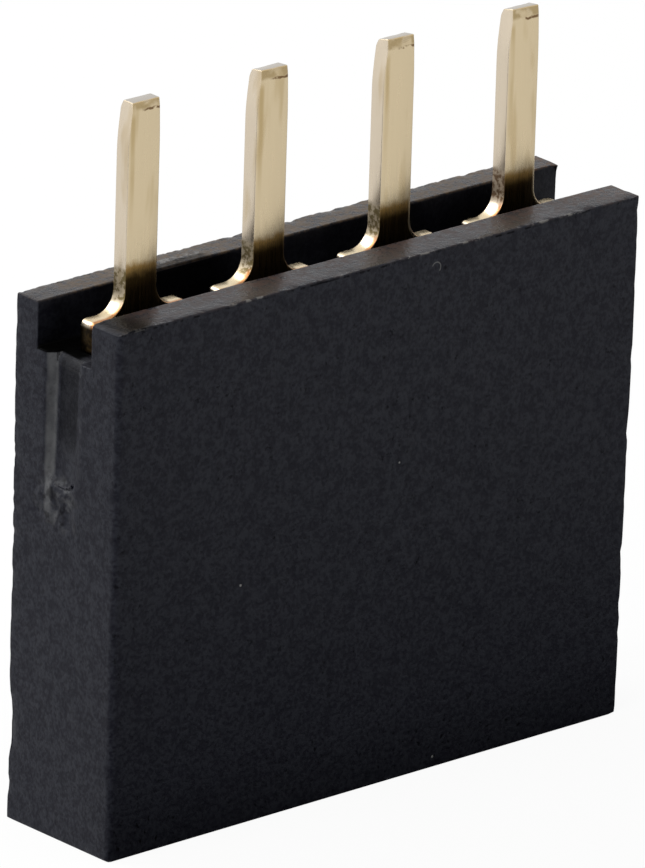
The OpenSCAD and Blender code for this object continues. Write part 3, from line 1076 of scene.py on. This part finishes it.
def slice_faces(bm, axis, values, wanted=None):
    """Cuts the faces along planes across one axis, so that the surface can be shaped finely."""
    normal = Vector([float(k == axis) for k in range(3)])
    for value in values:
        faces = [face for face in bm.faces if wanted is None or wanted(face)]
        touched = set(faces)
        for face in faces:
            touched.update(face.edges)
            touched.update(face.verts)
        bmesh.ops.bisect_plane(
            bm, geom=list(touched), dist=WELD, plane_co=normal * value, plane_no=normal,
        )


def refine_rims(bm):
    """Cuts the edges that run along the rails' outer rims into shorter ones."""
    rims_only = []
    for edge in bm.edges:
        a, b = (vert.co for vert in edge.verts)
        near_top = min(a.z, b.z) > HOUSING_HIGH.z - 0.1 * MM
        near_side = min(abs(a.y - HOUSING_LOW.y), abs(a.y - HOUSING_HIGH.y)) < 0.1 * MM
        if near_top and near_side and abs(a.x - b.x) > 0.08 * MM:
            rims_only.append(edge)
    bmesh.ops.subdivide_edges(bm, edges=rims_only, cuts=2)


def mould_wave(point):
    """How far the moulded surface sinks at a point, from slow waves and fine unevenness."""
    slow = noise.noise(point / (1.7 * MM))
    uneven = noise.noise(point / (0.5 * MM) + Vector((7.1, 0.3, 2.2)))
    return (WAVE_DEPTH * (slow + 0.6) + UNEVEN_DEPTH * (uneven + 0.6)) * MM


def edge_nicks(size, point):
    """How far an outer edge is rubbed away at a point: small dips that come and go."""
    near_y = min(point.y - HOUSING_LOW.y, HOUSING_HIGH.y - point.y)
    near_x = min(point.x - end_reach(size, point.z, -1), end_reach(size, point.z, 1) - point.x)
    near_z = min(point.z, HOUSING_HIGH.z - point.z)
    gaps = sorted((near_x, near_y, near_z))
    on_edge = 1 - smooth(0.03 * MM, 0.16 * MM, gaps[1])
    nick = noise.noise(point / (0.4 * MM)) + 0.6 * noise.noise(point / (0.13 * MM))
    depth = NICK_DEPTH * max(nick, 0.0)
    if point.x < 0 < point.y:
        depth += WORN_DEPTH * smooth(*WORN_FROM, point.z) * (1 - smooth(*WORN_TO, point.z))
    if near_z < 0.1 * MM < point.z and near_y < 0.1 * MM:
        depth += RIM_NICK_DEPTH * max(noise.noise(point / (0.07 * MM)), 0.0)
    return on_edge * depth * MM


def gate_mark(size, point):
    """How far the torn gate mark sinks into the left end face at a point, or stands out of it."""
    if point.x > end_reach(size, point.z, -1) + 0.03 * MM:
        return 0.0
    gap = (point - Vector((point.x, GATE_PLACE.y, GATE_PLACE.z))).length
    fray = 1 + 0.5 * noise.noise(point / (0.3 * MM))
    torn = noise.fractal(point / (0.3 * MM), 1.0, 2.1, 3)
    reach = 1 - smooth(0.6 * size.gate_radius, 1.3 * size.gate_radius, gap * fray)
    return reach * (torn - 0.2) * GATE_DEPTH


def worn_corner(point):
    """How far the front rail's left end is rubbed down at a point."""
    if point.y > ROW_Y or point.z < HOUSING_HIGH.z - 0.2 * MM:
        return 0.0
    inwards = point.x - HOUSING_LOW.x
    return CORNER_DEPTH * (1 - smooth(0.0, CORNER_LENGTH, inwards)) ** 1.5


def rail_flash(size, point):
    """How far a scrap of flash at the back rail's right end leans into the channel at a point."""
    root = Vector((HOUSING_HIGH.x, ROW_Y + size.channel_width / 2, HOUSING_HIGH.z - 0.03 * MM))
    return FLASH_REACH * (1 - smooth(0.03 * MM, 0.12 * MM, (point - root).length))


def weather(bm, size):
    """Moves the housing's outer skin: waves, nicks and the gate mark, never out of its box."""
    bm.normal_update()
    moves = {}
    for vert in bm.verts:
        if any(face.material_index for face in vert.link_faces):
            continue
        sink = mould_wave(vert.co) + edge_nicks(size, vert.co)
        if min(vert.co.z, vert.co.y - HOUSING_LOW.y) < WELD and vert.normal.z < -0.99:
            sink = 0.0
        moves[vert] = vert.normal * (gate_mark(size, vert.co) - sink)
        moves[vert].z -= worn_corner(vert.co)
        moves[vert].y -= rail_flash(size, vert.co)
    for vert, move in moves.items():
        place = vert.co + move
        vert.co = Vector([
            min(max(place[k], HOUSING_LOW[k]), HOUSING_HIGH[k]) for k in range(3)
        ])


def finish_mesh(thing, bm, angle):
    """Puts the shape back in its object, smooth but for edges that are sharper than the angle."""
    bmesh.ops.triangulate(bm, faces=[face for face in bm.faces if len(face.verts) > 4])
    mesh = thing.data
    bm.to_mesh(mesh)
    bm.free()
    mesh.validate()
    mesh.shade_smooth()
    mesh.set_sharp_from_angle(angle=angle)
    return thing


def build_housing(size, colours):
    """The moulded housing as one closed mesh."""
    plastic = finish("black_moulded_plastic", colours)
    core = finish("black_plastic_cavity_walls", colours)
    housing = rounded_block(size)
    housing.data.materials.append(plastic)
    cutters = cavity_cutters(size)
    tree = cavity_row_tree(core)
    run_tree(cutters, tree, Count=len(CONTACT_NODES), First=ROW_START, Pitch=PITCH)
    cut_away(housing, cutters)
    relief = relief_cutters(size)
    relief.data.materials.append(plastic)
    cut_away(housing, relief)
    bm = bmesh.new()
    bm.from_mesh(housing.data)
    bmesh.ops.remove_doubles(bm, verts=bm.verts, dist=WELD)

    def outer(face):
        return face.material_index == 0

    def near_gate(face):
        middle = face.calc_center_median()
        on_end = middle.x < end_reach(size, middle.z, -1) + 0.06 * MM
        beside = max(GATE_SPAN_Z[0] - middle.z, middle.z - GATE_SPAN_Z[1])
        return outer(face) and on_end and beside < 0.1 * MM

    for axis in range(3):
        cuts = steps_between(HOUSING_LOW[axis], HOUSING_HIGH[axis], COARSE_CUTS)
        slice_faces(bm, axis, cuts, outer)
    slice_faces(bm, 1, steps_between(*GATE_SPAN_Y, FINE_CUTS), near_gate)
    slice_faces(bm, 2, steps_between(*GATE_SPAN_Z, FINE_CUTS), near_gate)
    refine_rims(bm)
    weather(bm, size)
    return finish_mesh(housing, bm, HOUSING_SHARP)


def rims(a, width_a, b, width_b):
    """The straight flanks between two round ends, as a pair of end points on each side."""
    run = Vector(b) - Vector(a)
    lean = math.acos((width_a - width_b) / 2 / run.length)
    heading = math.atan2(run.y, run.x)
    flanks = []
    for side in (1, -1):
        turn = heading + side * lean
        across = Vector((math.cos(turn), math.sin(turn)))
        flanks.append((Vector(a) + width_a / 2 * across, Vector(b) + width_b / 2 * across))
    return flanks


def meeting(first, second):
    """Point where the lines through two pairs of points meet."""
    a, b = first
    c, d = second
    run, other = b - a, d - c
    share = (c - a).cross(other) / run.cross(other)
    return a + run * share


def angle_of(point, centre):
    """Direction of a point from a centre, in degrees."""
    return math.degrees(math.atan2(point[1] - centre[1], point[0] - centre[0]))


def half_outline(size, ledge, sink, taper):
    """Right half of the contact's outline, from the middle of its tip down to the gullet."""
    tail, tip = size.tail_width / 2, size.tail_width / 2 - taper
    top, shoulder = LAST_TIP_Z, size.shoulder_height - sink
    plate, corner = size.plate_width / 2, size.shoulder_radius
    rise = size.tail_fillet
    points = arc((tip - size.tip_radius, top - size.tip_radius), size.tip_radius, 90, 4, 5)
    for k in range(1, 9):
        share = k / 8
        drop = top - size.tip_radius - share * (size.tip_length - size.tip_radius)
        points.append((tip + taper * math.sin(share * math.pi / 2) ** 1.2, drop))
    points += arc((tail + rise, shoulder + rise), rise, 180, 270, 18)
    points += arc((plate - corner, shoulder - corner), corner, 90, 0, 8)
    for row in range(size.barb_rows):
        high = size.barb_top - row * size.barb_step
        reach = plate + size.barb_reach
        points += [(plate, high), (reach, high), (reach, high - size.barb_land)]
        points.append((plate, high - size.barb_land - size.barb_ramp))
    points.append((plate, ledge))
    root = ((size.root_gap + size.root_width) / 2, ledge)
    nose = ((size.nose_gap + size.nose_width) / 2, size.nose_height)
    flare = (size.flare_x, size.flare_height)
    upper = rims(root, size.root_width, nose, size.nose_width)
    lower = rims(nose, size.nose_width, flare, size.flare_width)
    points += [upper[0][0], meeting(upper[0], lower[0]), lower[0][1]]
    outer_turn, inner_turn = angle_of(lower[0][1], flare), angle_of(lower[1][1], flare)
    if inner_turn > outer_turn:
        inner_turn -= 360
    points += arc(flare, size.flare_width / 2, outer_turn, inner_turn, 12)[1:]
    from_turn, to_turn = angle_of(lower[1][0], nose), angle_of(upper[1][1], nose)
    if to_turn > from_turn:
        to_turn -= 360
    points += arc(nose, size.nose_width / 2, from_turn, to_turn, 10)
    points += arc((0.0, ledge), size.root_gap / 2, 0, 90, 12)
    return [(x, z) for x, z in points]


def flat_outline(size, ledge, sink):
    """The contact's whole outline as one flat face that looks along +Y."""
    right = half_outline(size, ledge, sink, size.right_taper)
    left = [(-x, z) for x, z in reversed(half_outline(size, ledge, sink, size.left_taper))]
    bm = bmesh.new()
    y = -size.thickness / 2
    loop = []
    for x, z in right + left:
        if not loop or (Vector((x, y, z)) - loop[-1].co).length > 10 * WELD:
            loop.append(bm.verts.new((x, y, z)))
    if (loop[0].co - loop[-1].co).length < 10 * WELD:
        bm.verts.remove(loop.pop())
    face = bm.faces.new(loop)
    face.normal_update()
    if face.normal.y < 0:
        face.normal_flip()
    mesh = bpy.data.meshes.new("contact_outline")
    bm.to_mesh(mesh)
    bm.free()
    return mesh


def coin_tip(bm, size, place):
    """Presses the front and back of the tip in, leaves its cut end rough and lifts a burr."""
    top = CONTACT_BOXES[place][1].z
    burr = min(size.burr_height, CAD_BOX[1][2] - top)
    start = top - size.coin_length
    levels = [start + size.coin_length * k / 6 for k in range(7)]
    levels += steps_between(size.shoulder_height, start, CONTACT_CUTS)
    slice_faces(bm, 2, levels)
    middle = CONTACT_CENTRES[place]
    for column in steps_between(-size.tail_width / 2, size.tail_width / 2, TIP_CUTS):
        slice_faces(bm, 0, [middle.x + column], lambda face: face.calc_center_median().z > start)
    for vert in bm.verts:
        if vert.co.z < start:
            continue
        share = (vert.co.z - start) / size.coin_length
        forward = (middle.y - vert.co.y) / (size.thickness / 2)
        pressed = size.coin_depth * share ** 1.35 * (FRONT_SHARE if forward > 0 else 1.0)
        wander = noise.noise(vert.co / (0.14 * MM)) * TIP_WANDER * MM * share
        vert.co.y += forward * (pressed + abs(wander))
        leftward = 0.5 - (vert.co.x - middle.x) / size.tail_width
        rise = burr * (0.5 + 0.5 * forward) * (0.6 + 0.4 * leftward)
        rough = 0.5 + 0.5 * noise.noise(vert.co / (0.2 * MM))
        vert.co.z += (rise - END_ROUGHNESS * MM * rough) * share


def build_contact(size, ledge, tree, place):
    """One contact as a closed mesh in its place in the row, with its plate on the ledge."""
    name = CONTACT_NODES[place]
    sink = SHOULDER_SINK * SEATS[place]
    contact = new_object(name, flat_outline(size, ledge, sink))
    run_tree(
        contact, tree, Thickness=size.thickness, Place=place, First=ROW_START,
        Pitch=PITCH, Rise=SEATS[place],
    )
    modify(
        contact, "Rolled edges", "BEVEL", limit_method="ANGLE", angle_limit=ROLLED_ANGLE,
        width=size.edge_radius, segments=3, use_clamp_overlap=False,
    )
    bm = bmesh.new()
    bm.from_mesh(contact.data)
    coin_tip(bm, size, place)
    return finish_mesh(contact, bm, CONTACT_SHARP)


FINISHES = {
    "black_moulded_plastic": plastic_material,
    "black_plastic_cavity_walls": core_material,
    "pale_gold_plating": plating_material,
}


def finish(name, colours):
    """A finish by its name, made on its first use."""
    return bpy.data.materials.get(name) or FINISHES[name](colours)


class HEADER_OT_housing(bpy.types.Operator):
    """Build the moulded housing and let it stand for its solid"""

    bl_idname = "header.housing"
    bl_label = "Build Housing"

    def execute(self, context):
        housing = build_housing(context.scene.header_housing, context.scene.header_colours)
        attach(housing, BODY)
        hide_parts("housing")
        return {"FINISHED"}


class HEADER_OT_contacts(bpy.types.Operator):
    """Build the stamped contacts along the row"""

    bl_idname = "header.contacts"
    bl_label = "Build Contacts"

    def execute(self, context):
        scene = context.scene
        tree = stamped_contact_tree(finish("pale_gold_plating", scene.header_colours))
        ledge = scene.header_housing.ledge_height
        for place, node in enumerate(CONTACT_NODES):
            contact = build_contact(scene.header_contact, ledge, tree, place)
            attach(contact, BODY)
            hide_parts(node)
        return {"FINISHED"}


def studio_floor(colours):
    """A plain floor that shows white to the camera and keeps the object's shadow, with a painted
    shadow that reflections see.
    """
    bm = bmesh.new()
    bmesh.ops.create_grid(bm, x_segments=1, y_segments=1, size=FLOOR_SIZE)
    floor = new_object("floor", mesh_from(bm, "floor"))
    material = bpy.data.materials.new("pale_floor")
    t = empty_tree(material)
    paths = t.node("ShaderNodeLightPath").outputs
    along, across, _ = t.split(t.node("ShaderNodeTexCoord").outputs["Object"])
    # Painted shadow in front of the object, which only reflections and bounced light see
    dim = t.times(
        t.ramp(across, *FLOOR_DIM_Y, 0.0, 0.95), t.ramp(along, *FLOOR_DIM_X, 1.0, 0.8),
        t.fall(across, -1.1 * MM, -1.0 * MM), t.rest(paths["Is Camera Ray"]),
    )
    lit = t.node("ShaderNodeBsdfDiffuse", t.mix(dim, colours.floor, (0.0, 0.0, 0.0)))
    white = t.node("ShaderNodeEmission", (1.0, 1.0, 1.0), t.rest(dim))
    share = t.times(paths["Is Glossy Ray"], FLOOR_TO_GLOSS)
    seen = t.math("ADD", paths["Is Camera Ray"], paths["Is Transmission Ray"], clamp=True)
    share = t.plus(share, seen, FLOOR_TO_CAMERA)
    surface = t.node("ShaderNodeMixShader", share, lit, white)
    clear = t.node("ShaderNodeBsdfTransparent")
    below = t.node("ShaderNodeNewGeometry").outputs["Backfacing"]
    shown = t.node("ShaderNodeMixShader", below, surface, clear)
    t.node("ShaderNodeOutputMaterial", shown)
    floor.data.materials.append(material)
    return floor


def studio_world(strength):
    """White for what the camera and gloss see, and a softer even light on the object."""
    world = bpy.data.worlds.new("studio")
    bpy.context.scene.world = world
    t = empty_tree(world)
    paths = t.node("ShaderNodeLightPath").outputs
    seen = t.math("ADD", paths["Is Camera Ray"], paths["Is Glossy Ray"])
    seen = t.math("ADD", seen, paths["Is Transmission Ray"], clamp=True)
    light = t.node("ShaderNodeBackground", (1.0, 1.0, 1.0), strength)
    in_gloss = t.plus(1.0, paths["Is Glossy Ray"], 0.3)
    white = t.node("ShaderNodeBackground", (1.0, 1.0, 1.0), in_gloss)
    both = t.node("ShaderNodeMixShader", seen, light, white)
    t.node("ShaderNodeOutputWorld", both)


def softbox(name, direction, distance, size, power, aim):
    """A square lamp that looks at the object from a direction."""
    data = bpy.data.lights.new(name, "AREA")
    data.shape = "SQUARE"
    data.size = size
    data.energy = power
    lamp = new_object(name, data)
    away = Vector(direction).normalized()
    lamp.location = aim + away * distance
    lamp.rotation_euler = away.to_track_quat("Z", "Y").to_euler()


def studio_camera(studio):
    """The camera at the photograph's angle."""
    azimuth, elevation = studio.azimuth, studio.elevation
    back = Vector((
        math.sin(azimuth) * math.cos(elevation),
        -math.cos(azimuth) * math.cos(elevation),
        math.sin(elevation),
    ))
    right = WORLD_UP.cross(back).normalized()
    upright = Matrix((right, back.cross(right), back)).transposed()
    turned = upright @ Matrix.Rotation(studio.roll, 3, "Z")
    data = bpy.data.cameras.new("camera")
    data.lens = studio.lens
    data.sensor_width = SENSOR_WIDTH
    data.clip_start = MM
    camera = new_object("camera", data)
    place = Vector(studio.aim) + back * studio.distance
    camera.matrix_world = Matrix.Translation(place) @ turned.to_4x4()
    bpy.context.scene.camera = camera


class HEADER_OT_stage(bpy.types.Operator):
    """Set up the floor, the lamps, the world and the camera"""

    bl_idname = "header.stage"
    bl_label = "Build Stage"

    def execute(self, context):
        scene = context.scene
        scene.view_settings.view_transform = "Standard"
        studio_floor(scene.header_colours)
        studio_world(WORLD_LIGHT)
        for lamp in LAMPS:
            softbox(*lamp, Vector(scene.header_studio.aim))
        studio_camera(scene.header_studio)
        return {"FINISHED"}


class HEADER_PT_panel(bpy.types.Panel):
    """The strip's operators and its main sizes"""

    bl_idname = "HEADER_PT_panel"
    bl_label = "Pin Header Strip"
    bl_space_type = "VIEW_3D"
    bl_region_type = "UI"
    bl_category = "Header Strip"

    def draw(self, context):
        layout = self.layout
        for operator in (HEADER_OT_housing, HEADER_OT_contacts, HEADER_OT_stage):
            layout.operator(operator.bl_idname)
        for group_name in GROUPS:
            group = getattr(context.scene, group_name)
            box = layout.box()
            for key in group.__annotations__:
                box.prop(group, key)


GROUPS = {
    "header_housing": HousingSizes,
    "header_contact": ContactSizes,
    "header_colours": FinishColours,
    "header_studio": StudioSizes,
}
CLASSES = (
    *GROUPS.values(), HEADER_OT_housing, HEADER_OT_contacts, HEADER_OT_stage, HEADER_PT_panel,
)


def register():
    """Registers the classes and puts the property groups on the scene."""
    for kind in CLASSES:
        bpy.utils.register_class(kind)
    for name, kind in GROUPS.items():
        setattr(bpy.types.Scene, name, PointerProperty(type=kind))


def unregister():
    """Takes it all away again."""
    for name in GROUPS:
        delattr(bpy.types.Scene, name)
    for kind in reversed(CLASSES):
        bpy.utils.unregister_class(kind)


def main():
    """Registers the add-on and builds the whole scene."""
    register()
    bpy.ops.header.housing()
    bpy.ops.header.contacts()
    bpy.ops.header.stage()


if __name__ == "__main__":
    main()
